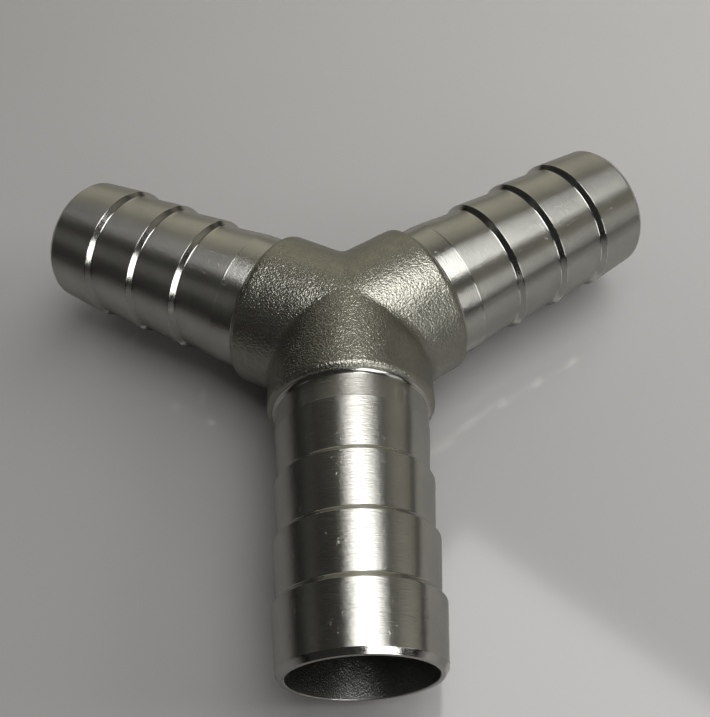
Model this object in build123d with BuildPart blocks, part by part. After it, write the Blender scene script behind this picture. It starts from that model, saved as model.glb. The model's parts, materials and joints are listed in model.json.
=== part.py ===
from build123d import *
import os

# Equal three-way hose fitting in a Y: a cast hub and three turned, barbed tails seated in it.
# Millimetres. The origin is the hub's centre, where the three bore axes cross, and +Z is up.
# The axes lie in the XY plane, 120 degrees apart. One leg points along -Y, the others to the back.
# Distances along a leg start at the hub's centre, and radii are from that leg's own axis.

# Node name of each tail, with its leg's turn about +Z from the -Y direction, in degrees.
TAIL_TURNS = {"front_tail": 0, "right_tail": 120, "left_tail": -120}

# Water way and overall size.
LEG_LENGTH = 60.5
BORE_RADIUS = 10.9

# Hub: three equal branches with rounded lips, and a stepped socket in each for a tail's spigot.
BRANCH_RADIUS = 14.45
BRANCH_LENGTH = 16.75
LIP_FILLET = 1.1
SOCKET_DEPTH = 7.75

# Tail, inner end: spigot, the hollow-sided collar that seats on the hub's face, and the plain neck.
SPIGOT_RADIUS = 12.2
SPIGOT_LEAD_IN = 0.4
COLLAR_RADIUS = 13.6
COLLAR_LENGTH = 0.6
COVE_CORNER_LENGTH = 0.22
COVE_CORNER_RADIUS = 13.25
COVE_FILLET = 1.2
NECK_RADIUS = 13.04
NECK_END = 21.4

# Tail, barbs: each one is a short shoulder facing the hub, then a long taper to the next root.
BARB_COUNT = 3
BARB_PITCH = 9.84
FIRST_CREST = 30.95
SHOULDER_LENGTH = 0.88
CREST_RADIUS = 13.0
ROOT_RADIUS = 12.2
CREST_FILLET = 0.12
ROOT_FILLET = 0.2

# Tail, mouth: the last taper ends in a chamfer, and the bore's edge is broken.
CHAMFER_LENGTH = 0.85
CHAMFER_START_RADIUS = 12.22
FACE_RADIUS = 11.6
BORE_EDGE_BREAK = 0.1

SOCKET_FLOOR = BRANCH_LENGTH - SOCKET_DEPTH
CRESTS = [FIRST_CREST + BARB_PITCH * index for index in range(BARB_COUNT)]
ROOTS = [crest - SHOULDER_LENGTH for crest in CRESTS]


def leg_direction(turn):
    """Unit vector along a leg, away from the hub."""
    return Vector(0, -1, 0).rotate(Axis.Z, turn)


def cross_plane(turn, distance=0):
    """Plane across a leg at a distance from the hub's centre, facing out along the leg."""
    direction = leg_direction(turn)
    return Plane(origin=direction * distance, z_dir=direction)


def profile_plane(turn):
    """Upright plane through a leg's axis: its x runs out along the leg, and its y up."""
    direction = leg_direction(turn)
    return Plane(origin=(0, 0, 0), x_dir=direction, z_dir=direction.cross(Vector(0, 0, 1)))


def make_hub_body():
    """Three round branches that meet at the centre, bored through and socketed at each end."""
    with BuildPart() as hub:
        for turn in TAIL_TURNS.values():
            with BuildSketch(cross_plane(turn)):
                Circle(BRANCH_RADIUS)
            extrude(amount=BRANCH_LENGTH)
        lips = hub.edges().filter_by(GeomType.CIRCLE)
        fillet(lips, radius=LIP_FILLET)
        for turn in TAIL_TURNS.values():
            with BuildSketch(cross_plane(turn)):
                Circle(BORE_RADIUS)
            extrude(amount=BRANCH_LENGTH, mode=Mode.SUBTRACT)
            with BuildSketch(cross_plane(turn, SOCKET_FLOOR)):
                Circle(SPIGOT_RADIUS)
            extrude(amount=SOCKET_DEPTH, mode=Mode.SUBTRACT)
    return hub


def tail_outline():
    """Corners of a tail's half section, as (distance along the leg, radius)."""
    spigot = [
        (SOCKET_FLOOR, BORE_RADIUS),
        (SOCKET_FLOOR, SPIGOT_RADIUS - SPIGOT_LEAD_IN),
        (SOCKET_FLOOR + SPIGOT_LEAD_IN, SPIGOT_RADIUS),
        (BRANCH_LENGTH, SPIGOT_RADIUS),
    ]
    collar_and_neck = [
        (BRANCH_LENGTH, COLLAR_RADIUS),
        (BRANCH_LENGTH + COVE_CORNER_LENGTH, COVE_CORNER_RADIUS),
        (BRANCH_LENGTH + COLLAR_LENGTH, NECK_RADIUS),
        (NECK_END, NECK_RADIUS),
    ]
    barbs = []
    for root, crest in zip(ROOTS, CRESTS):
        barbs += [(root, ROOT_RADIUS), (crest, CREST_RADIUS)]
    mouth = [
        (LEG_LENGTH - CHAMFER_LENGTH, CHAMFER_START_RADIUS),
        (LEG_LENGTH, FACE_RADIUS),
        (LEG_LENGTH, BORE_RADIUS + BORE_EDGE_BREAK),
        (LEG_LENGTH - BORE_EDGE_BREAK, BORE_RADIUS),
    ]
    return spigot + collar_and_neck + barbs + mouth


def make_tail(turn):
    """One turned tube, revolved about its leg's axis, with its barbs' corners lightly rounded."""
    with BuildPart() as tail:
        with BuildSketch(profile_plane(turn)) as section:
            with BuildLine():
                Polyline(tail_outline(), close=True)
            make_face()
            cove_corner = (BRANCH_LENGTH + COVE_CORNER_LENGTH, COVE_CORNER_RADIUS)
            fillet(section.vertices().sort_by_distance(cove_corner)[0], radius=COVE_FILLET)
            for level, radius in ((-1, CREST_FILLET), (0, ROOT_FILLET)):
                barb_corners = section.vertices().filter_by_position(Axis.X, ROOTS[0], CRESTS[-1])
                fillet(barb_corners.group_by(Axis.Y)[level], radius=radius)
        revolve(axis=Axis((0, 0, 0), leg_direction(turn)))
    return tail


os.makedirs("parts", exist_ok=True)

hub_body = make_hub_body()
hub_body.part.label = "hub_body"
export_step(hub_body.part, "parts/hub_body.step")

for name, turn in TAIL_TURNS.items():
    tail = make_tail(turn)
    tail.part.label = name
    export_step(tail.part, f"parts/{name}.step")
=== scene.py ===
import json
import math

import bmesh
import bpy
import numpy as np
from mathutils import Matrix, Quaternion, Vector, noise


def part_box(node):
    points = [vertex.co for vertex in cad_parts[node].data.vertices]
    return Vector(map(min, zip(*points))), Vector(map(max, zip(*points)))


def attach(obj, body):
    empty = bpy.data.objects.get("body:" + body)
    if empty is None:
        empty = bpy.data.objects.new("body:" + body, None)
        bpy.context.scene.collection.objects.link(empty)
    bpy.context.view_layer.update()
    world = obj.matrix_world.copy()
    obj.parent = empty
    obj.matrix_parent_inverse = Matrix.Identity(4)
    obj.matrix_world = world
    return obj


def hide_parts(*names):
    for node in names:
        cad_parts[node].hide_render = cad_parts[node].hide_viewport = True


# Looks of a three-way hose fitting: a blasted cast hub and three turned, barbed tails.
# Profiles, grain and dents are worked out in millimetres and become metres when a mesh is made.
# Distances along a leg start at the hub's centre, and radii are from that leg's own axis.

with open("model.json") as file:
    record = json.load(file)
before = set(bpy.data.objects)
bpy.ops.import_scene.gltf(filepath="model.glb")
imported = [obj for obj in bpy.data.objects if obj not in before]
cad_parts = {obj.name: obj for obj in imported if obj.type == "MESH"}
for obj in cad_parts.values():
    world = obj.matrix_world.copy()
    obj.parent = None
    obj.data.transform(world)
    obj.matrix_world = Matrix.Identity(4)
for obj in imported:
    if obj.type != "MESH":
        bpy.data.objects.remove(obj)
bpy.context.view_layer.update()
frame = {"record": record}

MM = 0.001
# How far each tail is turned from the front leg, in degrees.
TAIL_TURNS = {"front_tail": 0, "right_tail": 120, "left_tail": -120}


# ---- sizes taken from the frame, in millimetres

def mount_radius(name):
    """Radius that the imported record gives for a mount."""
    found = [mount for mount in frame["record"]["mounts"] if mount["name"] == name]
    return found[0]["dims"]["r_mm"]


HUB_LOW, HUB_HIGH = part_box("hub_body")
TAIL_LOW, TAIL_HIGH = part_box("front_tail")
BRANCH_RADIUS = HUB_HIGH.z / MM
BRANCH_LENGTH = -HUB_LOW.y / MM
LEG_LENGTH = -TAIL_LOW.y / MM
SOCKET_FLOOR = -TAIL_HIGH.y / MM
BORE_RADIUS = mount_radius("front_bore")
NECK_RADIUS = mount_radius("front_hose_seat")
FLOOR_Z = HUB_LOW.z

# ---- sizes of the design, in millimetres

LIP_FILLET = 1.1
SPIGOT_RADIUS = 12.2
SPIGOT_LEAD_IN = 0.4
COLLAR_RADIUS = 13.6
COLLAR_LENGTH = 0.6
COVE_CORNER_LENGTH = 0.22
COVE_CORNER_RADIUS = 13.25
COVE_FILLET = 1.2
NECK_END = 21.4
BARB_COUNT = 3
BARB_PITCH = 9.84
FIRST_CREST = 30.95
SHOULDER_LENGTH = 0.88
CREST_RADIUS = 13.0
ROOT_RADIUS = 12.2
CREST_FILLET = 0.12
ROOT_FILLET = 0.3
CHAMFER_LENGTH = 0.85
CHAMFER_START_RADIUS = 12.22
FACE_RADIUS = 11.6
BORE_EDGE_BREAK = 0.1
SMALL_ROUNDING = 0.05
CHAMFER_ROUNDING = 0.08
BORE_EDGE_ROUNDING = 0.03
COLLAR_RIM_ROUNDING = 0.02

# Slack for telling whether a point is on a line of the section.
SLACK = 0.01


# ---- mesh helpers

def leg_direction(turn):
    """Unit vector along a leg, away from the hub."""
    angle = math.radians(turn)
    return np.array([math.sin(angle), -math.cos(angle), 0.0])


def leg_axes(turn):
    """A leg's sideways, upward and outward unit vectors."""
    outward = leg_direction(turn)
    upward = np.array([0.0, 0.0, 1.0])
    return np.cross(upward, outward), upward, outward


def grid_faces(row_count, around, closed_rows=False, first=0):
    """Quads of a grid of rings, which may close on itself the other way too."""
    rows = np.arange(row_count if closed_rows else row_count - 1)[:, None]
    columns = np.arange(around)[None, :]
    next_rows = (rows + 1) % row_count
    next_columns = (columns + 1) % around
    corners = [
        rows * around + columns,
        rows * around + next_columns,
        next_rows * around + next_columns,
        next_rows * around + columns,
    ]
    quads = np.stack([np.broadcast_to(corner, (rows.size, around)) for corner in corners], axis=-1)
    return first + quads.reshape(-1, 4)


def mesh_object(name, points_mm, faces):
    """A smooth-shaded mesh object from points in millimetres."""
    mesh = bpy.data.meshes.new(name)
    mesh.from_pydata((points_mm * MM).tolist(), [], faces.tolist())
    mesh.shade_smooth()
    piece = bpy.data.objects.new(name, mesh)
    bpy.context.scene.collection.objects.link(piece)
    return piece


def face_outwards(piece):
    """Makes a closed mesh's faces point outwards."""
    shape = bmesh.new()
    shape.from_mesh(piece.data)
    bmesh.ops.recalc_face_normals(shape, faces=shape.faces)
    shape.to_mesh(piece.data)
    shape.free()


# ---- hub

HUB_AROUND = 420
HUB_SKIN_ROWS = 60
HUB_LIP_ROWS = 8
HUB_BORE_ROWS = 3
CREASE_BLEND = 1.5
BORE_BLEND = 0.3
GRAIN_SIZE = 0.5
GRAIN_HEIGHT = 0.035
SWELL_SIZE = 3.0
SWELL_HEIGHT = 0.03
BISECTOR_SLOPE = math.tan(math.radians(30))
SMALLEST_BLEND = 0.001
SOLVER_RANGE = (0.9, 1.2)
SOLVER_STEPS = 30
SLOPE_STEP = 0.01
MERGE_DISTANCE = 0.0005
LEG_DIRECTIONS = [leg_direction(turn) for turn in TAIL_TURNS.values()]


def union_field(points, radius, blend):
    """Signed distance from three round branches, blended where two meet, and less so at top and bottom."""
    distances = []
    for direction in LEG_DIRECTIONS:
        along = np.maximum(points @ direction, 0.0)[..., None]
        distances.append(np.linalg.norm(points - along * direction, axis=-1) - radius)
    nearest, second, _ = np.sort(np.stack(distances), axis=0)
    steepness = 1.0 - np.clip(points[..., 2] / radius, -1.0, 1.0) ** 2
    width = blend * np.maximum(steepness, SMALLEST_BLEND)
    overlap = np.maximum(width - (second - nearest), 0.0)
    return nearest - overlap**2 / (4.0 * width)


def skin_point(axes, angles, along, radii):
    """Points at a distance along a leg and a radius, at angles from the leg's top."""
    sideways, upward, outward = axes
    across = np.sin(angles)[..., None] * sideways + np.cos(angles)[..., None] * upward
    return along[..., None] * outward + radii[..., None] * across


def crease_distance(angles, radii):
    """Distance along a leg to the planes that divide it from its neighbours."""
    return BISECTOR_SLOPE * radii * np.abs(np.sin(angles))


def skin_radii(axes, angles, along, radius, blend):
    """Radii at which the blended branches' surface is met.

    With no distance along, they are found on the two planes that divide this leg from its neighbours.
    """
    low = np.full(angles.shape, SOLVER_RANGE[0] * radius)
    high = np.full(angles.shape, SOLVER_RANGE[1] * radius)
    for _ in range(SOLVER_STEPS):
        middle = (low + high) / 2.0
        distance = crease_distance(angles, middle) if along is None else along
        inside = union_field(skin_point(axes, angles, distance, middle), radius, blend) < 0.0
        low = np.where(inside, middle, low)
        high = np.where(inside, high, middle)
    return (low + high) / 2.0


def skin_rows(axes, angles, end, row_count, radius, blend):
    """Rings of a branch from the creases beside it to a distance along its leg."""
    edge_radii = skin_radii(axes, angles, None, radius, blend)
    edge_along = crease_distance(angles, edge_radii)
    rows = [skin_point(axes, angles, edge_along, edge_radii)]
    for step in range(1, row_count + 1):
        along = edge_along + (end - edge_along) * step / row_count
        rows.append(skin_point(axes, angles, along, skin_radii(axes, angles, along, radius, blend)))
    return rows


def ring(axes, angles, along, radius):
    """One plain circle of a leg."""
    return skin_point(axes, angles, np.full(angles.shape, along), np.full(angles.shape, radius))


def hub_branch(turn):
    """Rings of one branch: outside, lip, face, socket and bore, back to the middle."""
    axes = leg_axes(turn)
    angles = np.arange(HUB_AROUND) * math.tau / HUB_AROUND
    rows = skin_rows(axes, angles, BRANCH_LENGTH - LIP_FILLET, HUB_SKIN_ROWS, BRANCH_RADIUS, CREASE_BLEND)
    for step in range(1, HUB_LIP_ROWS + 1):
        bend = math.pi / 2 * step / HUB_LIP_ROWS
        along = BRANCH_LENGTH - LIP_FILLET * (1.0 - math.sin(bend))
        rows.append(ring(axes, angles, along, BRANCH_RADIUS - LIP_FILLET * (1.0 - math.cos(bend))))
    rows.append(ring(axes, angles, BRANCH_LENGTH, SPIGOT_RADIUS))
    rows.append(ring(axes, angles, SOCKET_FLOOR, SPIGOT_RADIUS))
    rows += reversed(skin_rows(axes, angles, SOCKET_FLOOR, HUB_BORE_ROWS, BORE_RADIUS, BORE_BLEND))
    return np.stack(rows)


def fractal(point, size, octaves):
    """Smooth noise between about -1 and 1, with features of a size."""
    value = 0.0
    for octave in range(octaves):
        value += noise.noise(Vector(point) * (2**octave / size)) / 2**octave
    return value


def grain_height(point):
    """Height of the cast grain at a point."""
    return GRAIN_HEIGHT * fractal(point, GRAIN_SIZE, 2) + SWELL_HEIGHT * fractal(point, SWELL_SIZE, 1)


def outward_normals(points):
    """Unit normals of the blended branches' outside at points near it."""
    slopes = []
    for axis in np.eye(3):
        ahead = union_field(points + SLOPE_STEP * axis, BRANCH_RADIUS, CREASE_BLEND)
        behind = union_field(points - SLOPE_STEP * axis, BRANCH_RADIUS, CREASE_BLEND)
        slopes.append(ahead - behind)
    normals = np.stack(slopes, axis=-1)
    return normals / np.linalg.norm(normals, axis=-1, keepdims=True)


def make_hub():
    """The cast hub: three branches joined at their creases, with grain raised on the outside."""
    branches = [hub_branch(turn) for turn in TAIL_TURNS.values()]
    row_count = branches[0].shape[0]
    points = np.concatenate([branch.reshape(-1, 3) for branch in branches])
    size = row_count * HUB_AROUND
    firsts = [size * index for index in range(len(branches))]
    faces = np.concatenate([grid_faces(row_count, HUB_AROUND, first=first) for first in firsts])
    grained_rows = HUB_SKIN_ROWS + HUB_LIP_ROWS - 1
    grained = np.tile(np.arange(size) < grained_rows * HUB_AROUND, len(branches))
    heights = np.array([grain_height(point) for point in points[grained]])
    points[grained] += heights[:, None] * outward_normals(points[grained])
    piece = mesh_object("hub", points, faces)
    shape = bmesh.new()
    shape.from_mesh(piece.data)
    bmesh.ops.remove_doubles(shape, verts=shape.verts, dist=MERGE_DISTANCE * MM)
    shape.to_mesh(piece.data)
    shape.free()
    face_outwards(piece)
    return piece


# ---- tails

# Material slots of a tail's mesh, in the order in which it gets its finishes.
TURNED_SLOT, BORE_SLOT, SMOOTH_SLOT = range(3)

TAIL_AROUND = 230
OUTSIDE_SPACING = 0.15
BORE_SPACING = 0.35
ROUGH_BORE_LENGTH = 16.0
HIDDEN_SPACING = 2.5
ARC_STEPS = 4
STRAIGHT_HALF_ANGLE = 89.9
TOOL_MARK_HEIGHT = 0.0006
TOOL_WAVE_HEIGHT = 0.001
TOOL_WAVE_SIZE = 1.1
# Noise is zero where all of its coordinates are whole, so the waves are taken from between two layers.
BETWEEN_LAYERS = 0.5
BURR_HEIGHT = 0.02
BURR_SIZE = 0.5
BURR_REACH = 0.12
BORE_GRAIN_HEIGHT = 0.03
RIM_HEIGHT = 0.05
RIM_WIDTH = 0.25
NICK_COUNT = 14
NICK_END_GAP = 1.0
NICK_LENGTHS = (0.12, 0.3)
NICK_WIDTHS = (0.12, 0.45)
NICK_DEPTHS = (0.01, 0.035)
NICK_SEED_BASE = 100
# How far apart in the noise the tails take their burrs and their bore grain from.
BURR_NOISE_STEP = 7.5
BORE_NOISE_STEP = 10
# Least height above the bore, and distance from the hub's face, of what counts as the tail's outside.
OUTSIDE_RISE = 0.2
OUTSIDE_START = 0.05


def tail_corners():
    """Corners of a tail's half section, as (distance along the leg, radius, rounding)."""
    corners = [
        (SOCKET_FLOOR, SPIGOT_RADIUS - SPIGOT_LEAD_IN, 0),
        (SOCKET_FLOOR + SPIGOT_LEAD_IN, SPIGOT_RADIUS, 0),
        (BRANCH_LENGTH, SPIGOT_RADIUS, 0),
        (BRANCH_LENGTH, COLLAR_RADIUS, COLLAR_RIM_ROUNDING),
        (BRANCH_LENGTH + COVE_CORNER_LENGTH, COVE_CORNER_RADIUS, COVE_FILLET),
        (BRANCH_LENGTH + COLLAR_LENGTH, NECK_RADIUS, SMALL_ROUNDING),
        (NECK_END, NECK_RADIUS, SMALL_ROUNDING),
    ]
    for index in range(BARB_COUNT):
        crest = FIRST_CREST + BARB_PITCH * index
        corners.append((crest - SHOULDER_LENGTH, ROOT_RADIUS, ROOT_FILLET))
        corners.append((crest, CREST_RADIUS, CREST_FILLET))
    corners += [
        (LEG_LENGTH - CHAMFER_LENGTH, CHAMFER_START_RADIUS, CHAMFER_ROUNDING),
        (LEG_LENGTH, FACE_RADIUS, SMALL_ROUNDING),
        (LEG_LENGTH, BORE_RADIUS + BORE_EDGE_BREAK, BORE_EDGE_ROUNDING),
        (LEG_LENGTH - BORE_EDGE_BREAK, BORE_RADIUS, BORE_EDGE_ROUNDING),
        (LEG_LENGTH - ROUGH_BORE_LENGTH, BORE_RADIUS, 0),
        (SOCKET_FLOOR, BORE_RADIUS, 0),
    ]
    return corners


def round_corner(before, corner, after, radius):
    """Points of the arc that rounds a corner, or the corner itself."""
    back = before - corner
    ahead = after - corner
    back = back / np.linalg.norm(back)
    ahead = ahead / np.linalg.norm(ahead)
    half_angle = math.acos(float(np.clip(back @ ahead, -1.0, 1.0))) / 2.0
    if radius == 0 or half_angle > math.radians(STRAIGHT_HALF_ANGLE):
        return [corner]
    reach = radius / math.tan(half_angle)
    middle = (back + ahead) / np.linalg.norm(back + ahead)
    centre = corner + middle * radius / math.sin(half_angle)
    first = corner + back * reach - centre
    last = corner + ahead * reach - centre
    points = []
    for step in range(ARC_STEPS + 1):
        share = step / ARC_STEPS
        spoke = first * (1.0 - share) + last * share
        points.append(centre + spoke / np.linalg.norm(spoke) * radius)
    return points


def row_spacing(start, end):
    """Longest step between rings on a stretch of the section: fine outside, coarse where hidden."""
    inside = max(start[1], end[1]) < BORE_RADIUS + SLACK
    hidden = max(start[0], end[0]) < BRANCH_LENGTH + SLACK
    deep = inside and min(start[0], end[0]) < LEG_LENGTH - ROUGH_BORE_LENGTH - SLACK
    if hidden or deep:
        return HIDDEN_SPACING
    return BORE_SPACING if inside else OUTSIDE_SPACING


def tail_section():
    """The tail's closed half section as closely spaced points."""
    corners = tail_corners()
    count = len(corners)
    places = [np.array(corner[:2]) for corner in corners]
    rounded = []
    for index, corner in enumerate(corners):
        before = places[index - 1]
        after = places[(index + 1) % count]
        rounded += round_corner(before, places[index], after, corner[2])
    section = []
    for index, start in enumerate(rounded):
        end = rounded[(index + 1) % len(rounded)]
        length = float(np.linalg.norm(end - start))
        steps = max(1, math.ceil(length / row_spacing(start, end)))
        section += [start + (end - start) * step / steps for step in range(steps)]
    return np.array(section)


def tool_marks(section, seed):
    """Small changes of radius from ring to ring that the turning tool leaves on the outside."""
    draws = np.random.default_rng(seed)
    marks = draws.normal(0.0, TOOL_MARK_HEIGHT, len(section))
    waves = [fractal((along / TOOL_WAVE_SIZE, seed, BETWEEN_LAYERS), 1.0, 2) for along, _ in section]
    return marks + TOOL_WAVE_HEIGHT * np.array(waves)


def nicks(section, angles, seed):
    """Depth of a few small dents knocked into the outside."""
    draws = np.random.default_rng(NICK_SEED_BASE + seed)
    depth = np.zeros((len(section), len(angles)))
    for _ in range(NICK_COUNT):
        along = draws.uniform(BRANCH_LENGTH + NICK_END_GAP, LEG_LENGTH - NICK_END_GAP)
        angle = draws.uniform(-math.pi, math.pi)
        length = draws.uniform(*NICK_LENGTHS)
        width = draws.uniform(*NICK_WIDTHS)
        turn = (angles - angle + math.pi) % math.tau - math.pi
        squared = ((section[:, :1] - along) / length) ** 2 + (turn[None, :] * CREST_RADIUS / width) ** 2
        depth += draws.uniform(*NICK_DEPTHS) * np.exp(-squared)
    return depth


def burrs(section, angles, seed):
    """Unevenness round the tail of its sharp edges: the barb crests and the chamfer's start."""
    edges = np.append(FIRST_CREST + BARB_PITCH * np.arange(BARB_COUNT), LEG_LENGTH - CHAMFER_LENGTH)
    nearness = np.exp(-(((section[:, :1] - edges) / BURR_REACH) ** 2)).max(axis=1)
    heights = []
    for angle in angles:
        place = (CREST_RADIUS * math.cos(angle), CREST_RADIUS * math.sin(angle), BURR_NOISE_STEP * seed)
        heights.append(fractal(place, BURR_SIZE, 2))
    return BURR_HEIGHT * nearness[:, None] * np.array(heights)[None, :]


def bore_roughness(section, angles, seed):
    """Changes of radius from the cast grain in the bore's outer stretch, and more of it on the rim."""
    changes = np.zeros((len(section), len(angles)))
    by_bore = section[:, 1] < BORE_RADIUS + RIM_WIDTH
    for row in np.flatnonzero(by_bore & (section[:, 0] > LEG_LENGTH - ROUGH_BORE_LENGTH)):
        along = section[row, 0]
        height = RIM_HEIGHT if along > LEG_LENGTH - RIM_WIDTH else BORE_GRAIN_HEIGHT
        for column, angle in enumerate(angles):
            across = (BORE_RADIUS * math.cos(angle), BORE_RADIUS * math.sin(angle))
            place = (*across, along + BORE_NOISE_STEP * seed)
            changes[row, column] = height * fractal(place, GRAIN_SIZE, 2)
    return changes


def smooth_rows(section):
    """Which stretches of the section are the smooth shoulders, collar and chamfer."""
    crests = FIRST_CREST + BARB_PITCH * np.arange(BARB_COUNT)
    middles = (section + np.roll(section, -1, axis=0)) / 2.0
    back = crests - middles[:, :1]
    on_shoulder = ((back > -CREST_FILLET / 2.0) & (back < SHOULDER_LENGTH + ROOT_FILLET / 2.0)).any(axis=1)
    on_collar = (middles[:, 0] > BRANCH_LENGTH) & (middles[:, 0] < BRANCH_LENGTH + COLLAR_LENGTH)
    on_chamfer = middles[:, 0] > LEG_LENGTH - CHAMFER_LENGTH
    return (on_shoulder | on_collar | on_chamfer) & (middles[:, 1] > BORE_RADIUS + OUTSIDE_RISE)


def make_tail(name, turn, seed):
    """One turned tail, made along its own Z axis and then laid along its leg."""
    section = tail_section()
    angles = np.arange(TAIL_AROUND) * math.tau / TAIL_AROUND
    off_bore = section[:, 1] > BORE_RADIUS + OUTSIDE_RISE
    on_outside = off_bore & (section[:, 0] > BRANCH_LENGTH + OUTSIDE_START)
    changes = tool_marks(section, seed)[:, None] + burrs(section, angles, seed)
    changes -= nicks(section, angles, seed)
    radii = np.repeat(section[:, 1:], TAIL_AROUND, axis=1)
    radii += np.where(on_outside[:, None], changes, 0.0)
    radii += bore_roughness(section, angles, seed)
    along = np.repeat(section[:, :1], TAIL_AROUND, axis=1)
    points = np.stack([radii * np.sin(angles), radii * np.cos(angles), along], axis=-1)
    faces = grid_faces(len(section), TAIL_AROUND, closed_rows=True)
    piece = mesh_object(name, points.reshape(-1, 3), faces)
    in_bore = section[:, 1] < BORE_RADIUS + SLACK
    finish = np.where(smooth_rows(section), SMOOTH_SLOT, np.where(in_bore, BORE_SLOT, TURNED_SLOT))
    piece.data.polygons.foreach_set("material_index", np.repeat(finish, TAIL_AROUND).astype(np.int32))
    face_outwards(piece)
    sideways, upward, outward = leg_axes(turn)
    piece.matrix_world = Matrix(np.stack([sideways, upward, outward], axis=1).tolist()).to_4x4()
    return piece


# ---- materials

def add_node(tree, kind, inputs=(), **settings):
    """A new node with its settings, and with its inputs set to values or joined to sockets."""
    node = tree.nodes.new(kind)
    for name, value in settings.items():
        setattr(node, name, value)
    for name, value in dict(inputs).items():
        if isinstance(value, bpy.types.NodeSocket):
            tree.links.new(value, node.inputs[name])
        else:
            node.inputs[name].default_value = value
    return node


def new_material(name):
    """An empty node material and its tree."""
    material = bpy.data.materials.new(name)
    material.use_nodes = True
    material.node_tree.nodes.clear()
    return material, material.node_tree


def finish_material(tree, shader):
    """Joins a shader to the material's output."""
    output = add_node(tree, "ShaderNodeOutputMaterial")
    tree.links.new(shader.outputs["BSDF"], output.inputs["Surface"])


def object_place(tree, scale=(1, 1, 1)):
    """Object coordinates in metres, stretched by a scale."""
    place = add_node(tree, "ShaderNodeTexCoord").outputs["Object"]
    return add_node(tree, "ShaderNodeMapping", {"Vector": place, "Scale": scale}).outputs["Vector"]


# The range that most of a noise's values are in.
USUAL_NOISE = (0.3, 0.7)


def noise_value(tree, place, size_mm, detail=2.0, roughness=0.5):
    """Noise between 0 and 1 with features of a size in millimetres."""
    texture = add_node(
        tree,
        "ShaderNodeTexNoise",
        {"Vector": place, "Scale": 1.0 / (size_mm * MM), "Detail": detail, "Roughness": roughness},
    )
    return texture.outputs["Fac"]


def spread(tree, value, low, high, new_low, new_high):
    """Maps a value from one range to another, clamped."""
    node = add_node(
        tree,
        "ShaderNodeMapRange",
        {"Value": value, "From Min": low, "From Max": high, "To Min": new_low, "To Max": new_high},
    )
    return node.outputs["Result"]


def blend_colours(tree, share, first, second):
    """Mixes two colours. The Mix node's colour sockets come after its number and vector sockets."""
    node = add_node(tree, "ShaderNodeMix", data_type="RGBA")
    tree.links.new(share, node.inputs[0])
    node.inputs[6].default_value = (*first, 1.0)
    node.inputs[7].default_value = (*second, 1.0)
    return node.outputs[2]


def cloudy_colour(tree, cloud, colours):
    """A colour that drifts between two with a cloud noise."""
    return blend_colours(tree, spread(tree, cloud, *USUAL_NOISE, 0.0, 1.0), *colours)


def bump(tree, height, distance_mm, strength=1.0, under=None):
    """A bump of a height in millimetres, over another bump if there is one."""
    inputs = {"Height": height, "Distance": distance_mm * MM, "Strength": strength}
    if under is not None:
        inputs["Normal"] = under
    return add_node(tree, "ShaderNodeBump", inputs).outputs["Normal"]


# Below a roughness of 0.274 the renderer takes a metal for a mirror and smears its fine marks when it
# removes noise, so the cast and the turned finish stay just above that.
LEAST_ROUGHNESS = 0.275


def cast_steel(name, colours, sand_size, sand_height):
    """Dull steel as cast and blasted, with sand-like grain of a size and height in millimetres."""
    material, tree = new_material(name)
    place = object_place(tree)
    sand = noise_value(tree, place, sand_size, detail=1.0)
    cloud = noise_value(tree, place, 2.0, detail=4.0, roughness=0.8)
    shader = add_node(
        tree,
        "ShaderNodeBsdfPrincipled",
        {
            "Base Color": cloudy_colour(tree, cloud, colours),
            "Metallic": 1.0,
            "Roughness": spread(tree, sand, *USUAL_NOISE, LEAST_ROUGHNESS, 0.34),
            "Normal": bump(tree, sand, sand_height),
        },
    )
    finish_material(tree, shader)
    return material


def turned_steel(name, colours):
    """Bright turned steel, with fine tool lines round the piece's own Z axis and small dull scuffs."""
    material, tree = new_material(name)
    lines = noise_value(tree, object_place(tree, (0.1, 0.1, 1.0)), 0.17, roughness=0.65)
    place = object_place(tree)
    spots = noise_value(tree, place, 0.9, detail=3.0, roughness=0.6)
    scuffs = spread(tree, spots, 0.64, 0.76, 0.0, 1.0)
    cloud = noise_value(tree, place, 5.0, detail=3.0)
    normal = bump(tree, lines, 0.045)
    normal = bump(tree, scuffs, 0.022, under=normal)
    tangent = add_node(tree, "ShaderNodeTangent", direction_type="RADIAL", axis="Z").outputs["Tangent"]
    shader = add_node(
        tree,
        "ShaderNodeBsdfPrincipled",
        {
            "Base Color": cloudy_colour(tree, cloud, colours),
            "Metallic": 1.0,
            "Roughness": spread(tree, scuffs, 0.0, 1.0, LEAST_ROUGHNESS, 0.33),
            "Normal": normal,
            "Tangent": tangent,
            "Anisotropic": 0.9,
            "Anisotropic Rotation": 0.25,
        },
    )
    finish_material(tree, shader)
    return material


def smooth_steel(name, colours):
    """Steel that the tool left smooth, as on the shoulders, collar and chamfer."""
    material, tree = new_material(name)
    lines = noise_value(tree, object_place(tree, (0.3, 0.3, 1.0)), 0.2)
    cloud = noise_value(tree, object_place(tree), 5.0, detail=3.0)
    shader = add_node(
        tree,
        "ShaderNodeBsdfPrincipled",
        {
            "Base Color": cloudy_colour(tree, cloud, colours),
            "Metallic": 1.0,
            "Roughness": spread(tree, lines, *USUAL_NOISE, 0.12, 0.2),
            "Normal": bump(tree, lines, 0.008),
        },
    )
    finish_material(tree, shader)
    return material


def vector_math(tree, operation, inputs):
    """The vector that a vector math node gives."""
    return add_node(tree, "ShaderNodeVectorMath", inputs, operation=operation).outputs[0]


SURFACE_CLOUD_SIZE = 90.0
SURFACE_COLOURS = ((0.272, 0.265, 0.259), (0.289, 0.281, 0.275))
SURFACE_ROUGHNESS = 0.1
# How bright the surface is in the metal's reflections, as a share of how bright it is to look at.
REFLECTED_SURFACE = 0.6


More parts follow.
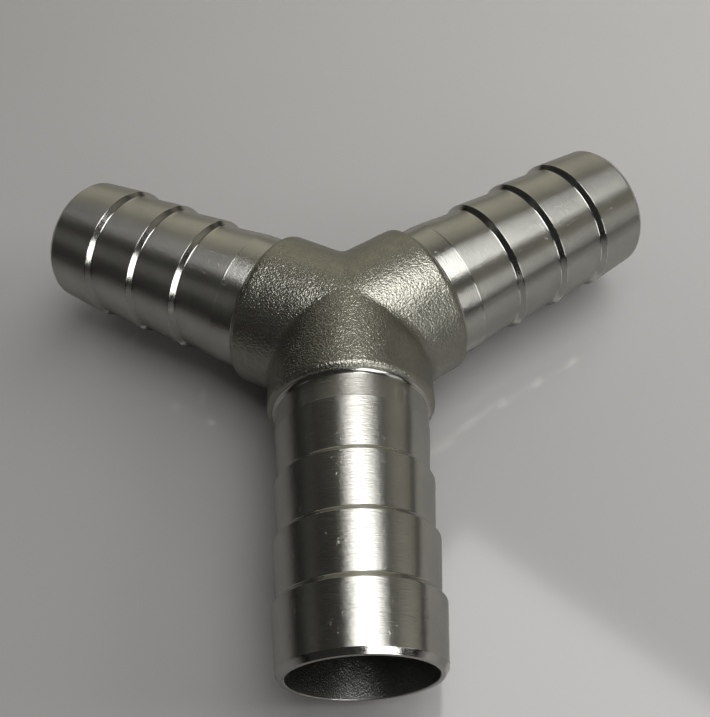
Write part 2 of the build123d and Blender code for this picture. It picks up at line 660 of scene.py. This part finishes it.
def pale_surface(name):
    """The smooth, slightly glossy pale surface that the part lies on."""
    material, tree = new_material(name)
    cloud = noise_value(tree, object_place(tree), SURFACE_CLOUD_SIZE)
    colour = blend_colours(tree, cloud, *SURFACE_COLOURS)
    in_metal = add_node(tree, "ShaderNodeLightPath").outputs["Is Glossy Ray"]
    dimming = spread(tree, in_metal, 0.0, 1.0, 1.0, REFLECTED_SURFACE)
    colour = vector_math(tree, "SCALE", {0: colour, "Scale": dimming})
    inputs = {"Base Color": colour, "Roughness": SURFACE_ROUGHNESS}
    finish_material(tree, add_node(tree, "ShaderNodeBsdfPrincipled", inputs))
    return material


# ---- the object

# The darker and the lighter colour of each finish.
CAST_COLOURS = ((0.378, 0.368, 0.311), (0.467, 0.457, 0.395))
# The bore's colours are darker than the hub's cast colours, which paints the shade inside the bore.
SHADED_BORE_COLOURS = ((0.29, 0.29, 0.28), (0.35, 0.35, 0.33))
TURNED_COLOURS = ((0.60, 0.59, 0.545), (0.67, 0.66, 0.61))

CAST_STEEL = cast_steel("cast_steel", CAST_COLOURS, sand_size=0.32, sand_height=0.113)
# The bore's finish carries painted shade: its colours are darkened for the shade inside the bore.
SHADED_BORE_STEEL = cast_steel("bore_steel", SHADED_BORE_COLOURS, sand_size=0.2, sand_height=0.08)
TURNED_STEEL = turned_steel("turned_steel", TURNED_COLOURS)
SMOOTH_STEEL = smooth_steel("smooth_steel", TURNED_COLOURS)

hub = make_hub()
hub.data.materials.append(CAST_STEEL)
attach(hub, "root")
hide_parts("hub_body")

for seed, (node, turn) in enumerate(TAIL_TURNS.items(), start=1):
    tail = make_tail(node.replace("_tail", "_barbed_tail"), turn, seed)
    for finish in (TURNED_STEEL, SHADED_BORE_STEEL, SMOOTH_STEEL):
        tail.data.materials.append(finish)
    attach(tail, "root")
    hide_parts(node)


# ---- surface, light and camera

FLOOR_RADIUS = 0.5
FLOOR_AROUND = 192


def make_floor():
    """The round surface that the part rests on."""
    mesh = bpy.data.meshes.new("floor")
    shape = bmesh.new()
    bmesh.ops.create_circle(shape, cap_ends=True, segments=FLOOR_AROUND, radius=FLOOR_RADIUS)
    shape.to_mesh(mesh)
    shape.free()
    floor = bpy.data.objects.new("floor", mesh)
    floor.location = (0, 0, FLOOR_Z)
    bpy.context.scene.collection.objects.link(floor)
    floor.data.materials.append(pale_surface("pale_surface"))


def sky_direction(azimuth, elevation):
    """Unit vector to a place round the part: azimuth from the back (+Y) towards +X, in degrees."""
    turn, rise = math.radians(azimuth), math.radians(elevation)
    return Vector((math.cos(rise) * math.sin(turn), math.cos(rise) * math.cos(turn), math.sin(rise)))


def add_panel(name, place, facing, width, height, radiance, spin=0.0):
    """A flat soft light of an even radiance: its sizes in metres, its spin about its own axis in degrees."""
    light = bpy.data.lights.new(name, "AREA")
    light.shape = "RECTANGLE"
    light.size, light.size_y = width, height
    light.energy = radiance * math.pi * width * height
    panel = bpy.data.objects.new(name, light)
    panel.location = place
    turn = facing.to_track_quat("Z", "Y") @ Quaternion((0, 0, 1), math.radians(spin))
    panel.rotation_euler = turn.to_euler()
    panel.visible_camera = False
    bpy.context.scene.collection.objects.link(panel)
    return panel


WINDOW_DISTANCE = 0.6


def add_window(name, azimuth, elevation, azimuth_span, elevation_span, radiance):
    """A soft light that fills a patch of the surroundings, its place and spans in degrees."""
    facing = sky_direction(azimuth, elevation)
    slant = math.cos(math.radians(elevation))
    width = 2 * WINDOW_DISTANCE * math.tan(math.radians(azimuth_span / 2)) * slant
    height = 2 * WINDOW_DISTANCE * math.tan(math.radians(elevation_span / 2))
    add_panel(name, facing * WINDOW_DISTANCE, facing, width, height, radiance)


# Soft patches that the metal mirrors: azimuth, elevation and reach in degrees, and brightness.
MIRRORED_PATCHES = [
    (4, 14, 48, (0.46, 0.44, 0.37)),
    (85, 19, 30, (0.28, 0.27, 0.225)),
    (-97, 28, 14, (0.14, 0.14, 0.133)),
]
# Brightness that the metal mirrors everywhere, that lights the surface evenly, and that the camera sees.
AMBIENT = (0.022, 0.022, 0.021)
EVEN_LIGHT = (0.12, 0.119, 0.116)
BACKDROP = (0.42, 0.415, 0.405)
# The dark rim round the surface, as the metal mirrors it: its height in degrees, how dark it is, and the
# share of its height, up and down, over which it fades.
HORIZON_RISE = 5.4
HORIZON_DARKNESS = 0.8
HORIZON_FADE = 0.2


def mirrored_brightness(tree):
    """What the metal mirrors in each direction: dim, with soft patches and a dark rim."""
    direction = add_node(tree, "ShaderNodeTexCoord").outputs["Generated"]
    total = AMBIENT
    for azimuth, elevation, reach, brightness in MIRRORED_PATCHES:
        towards = {0: direction, 1: sky_direction(azimuth, elevation)}
        nearness = add_node(tree, "ShaderNodeVectorMath", towards, operation="DOT_PRODUCT").outputs["Value"]
        share = spread(tree, nearness, math.cos(math.radians(reach)), 1.0, 0.0, 1.0)
        patch = vector_math(tree, "SCALE", {0: brightness, "Scale": share})
        total = vector_math(tree, "ADD", {0: total, 1: patch})
    height = add_node(tree, "ShaderNodeSeparateXYZ", {"Vector": direction}).outputs["Z"]
    rim = math.sin(math.radians(HORIZON_RISE))
    low = (1.0 - HORIZON_FADE) * rim
    high = (1.0 + HORIZON_FADE) * rim
    above_rim = spread(tree, height, low, high, 1.0 - HORIZON_DARKNESS, 1.0)
    return vector_math(tree, "SCALE", {0: total, "Scale": above_rim})


def background(tree, colour):
    """A background shader of a colour."""
    return add_node(tree, "ShaderNodeBackground", {"Color": colour}).outputs[0]


def switch(tree, ray, other, for_ray):
    """One shader for a kind of ray, and the other for the rest."""
    is_ray = add_node(tree, "ShaderNodeLightPath").outputs[ray]
    return add_node(tree, "ShaderNodeMixShader", {0: is_ray, 1: other, 2: for_ray}).outputs[0]


def make_surroundings():
    """What the metal mirrors, an even light for dull surfaces, and a plain backdrop for the camera."""
    world = bpy.data.worlds.new("surroundings")
    bpy.context.scene.world = world
    world.use_nodes = True
    tree = world.node_tree
    tree.nodes.clear()
    mirrored = background(tree, mirrored_brightness(tree))
    lit = switch(tree, "Is Diffuse Ray", mirrored, background(tree, (*EVEN_LIGHT, 1.0)))
    seen = switch(tree, "Is Camera Ray", lit, background(tree, (*BACKDROP, 1.0)))
    output = add_node(tree, "ShaderNodeOutputWorld")
    tree.links.new(seen, output.inputs["Surface"])


# The camera's aim and distance in millimetres, its angles in degrees, and its lens and sensor height.
AIM_MM = (1.04, -4.8, 0.0)
CAMERA_DISTANCE_MM = 144.84
CAMERA_AZIMUTH = 178.094
CAMERA_ELEVATION = 53.14
CAMERA_ROLL = -5.08
LENS = 40.3
SENSOR = 36.0


def make_camera():
    """The camera, looking down at the part from above its front leg."""
    camera = bpy.data.objects.new("camera", bpy.data.cameras.new("camera"))
    camera.data.sensor_fit = "VERTICAL"
    camera.data.sensor_height = SENSOR
    camera.data.lens = LENS
    camera.data.clip_start = 0.01
    place = sky_direction(CAMERA_AZIMUTH, CAMERA_ELEVATION)
    camera.location = (Vector(AIM_MM) + place * CAMERA_DISTANCE_MM) * MM
    look = place.to_track_quat("Z", "Y") @ Quaternion((0, 0, 1), math.radians(CAMERA_ROLL))
    camera.rotation_euler = look.to_euler()
    bpy.context.scene.collection.objects.link(camera)
    bpy.context.scene.camera = camera


# The overhead light, in metres and degrees.
OVERHEAD_PLACE = (0.12, -0.045, 0.5)
OVERHEAD_WIDTH = 0.396
OVERHEAD_HEIGHT = 0.307
OVERHEAD_SPIN = -41.9
OVERHEAD_RADIANCE = 3.9

# Window-like lights: name, azimuth, elevation and their spans in degrees, and radiance.
WINDOWS = [("window_light", 157, 24, 29, 26, 2.7), ("side_light", 124, 19, 22, 22, 0.55)]

# Soft lights on the surface alone: azimuth and elevation in degrees, and radiance.
FILLS = [(45, 25, 2.8), (45, 55, 3.3), (90, 25, 5.7), (-45, 25, 1.5)]
FILL_DISTANCE = 0.42
FILL_SIZE = 0.25


def make_lights():
    """The overhead light, the window-like lights and the fills."""
    add_panel(
        "overhead_light",
        OVERHEAD_PLACE,
        Vector((0, 0, 1)),
        OVERHEAD_WIDTH,
        OVERHEAD_HEIGHT,
        OVERHEAD_RADIANCE,
        spin=OVERHEAD_SPIN,
    )
    for window in WINDOWS:
        add_window(*window)
    for index, (azimuth, elevation, radiance) in enumerate(FILLS):
        facing = sky_direction(azimuth, elevation)
        place = facing * FILL_DISTANCE
        fill = add_panel(f"fill_light_{index}", place, facing, FILL_SIZE, FILL_SIZE, radiance)
        fill.visible_glossy = False


make_floor()
make_surroundings()
make_lights()
make_camera()
bpy.context.scene.view_settings.view_transform = "Standard"
